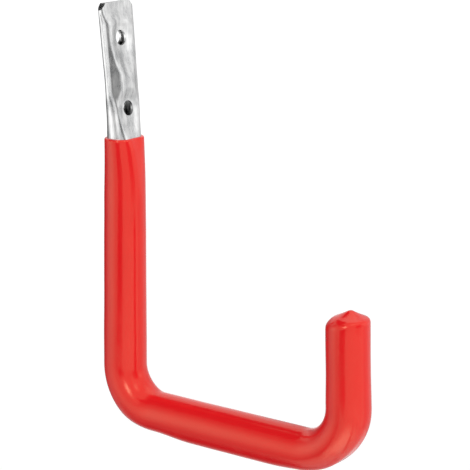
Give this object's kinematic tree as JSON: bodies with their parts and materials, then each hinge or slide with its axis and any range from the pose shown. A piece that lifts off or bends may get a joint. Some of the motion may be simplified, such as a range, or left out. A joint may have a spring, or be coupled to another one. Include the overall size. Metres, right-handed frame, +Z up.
{
  "type": "garage utility hook",
  "caption": "Wall hook bent from steel tube, its top end pressed flat and drilled for screws, with a glossy plastic coat over the leg, arm and upturned tip.",
  "frame": {"origin": "middle of the two screw holes, in the plane where both holes have their walls", "axes": "+Z up along the leg, +Y towards the wall, X along the wall; the arm reaches out along -Y"},
  "size_m": [0.0238, 0.1478, 0.205],
  "materials": {
    "zinc_plated_steel": "bright zinc plating with drawing and pressing marks",
    "red_coat": "glossy dipped soft plastic"
  },
  "bodies": {
    "root": {"steel_tube": "zinc_plated_steel", "grip_sleeve": "red_coat"}
  },
  "joints": []
}
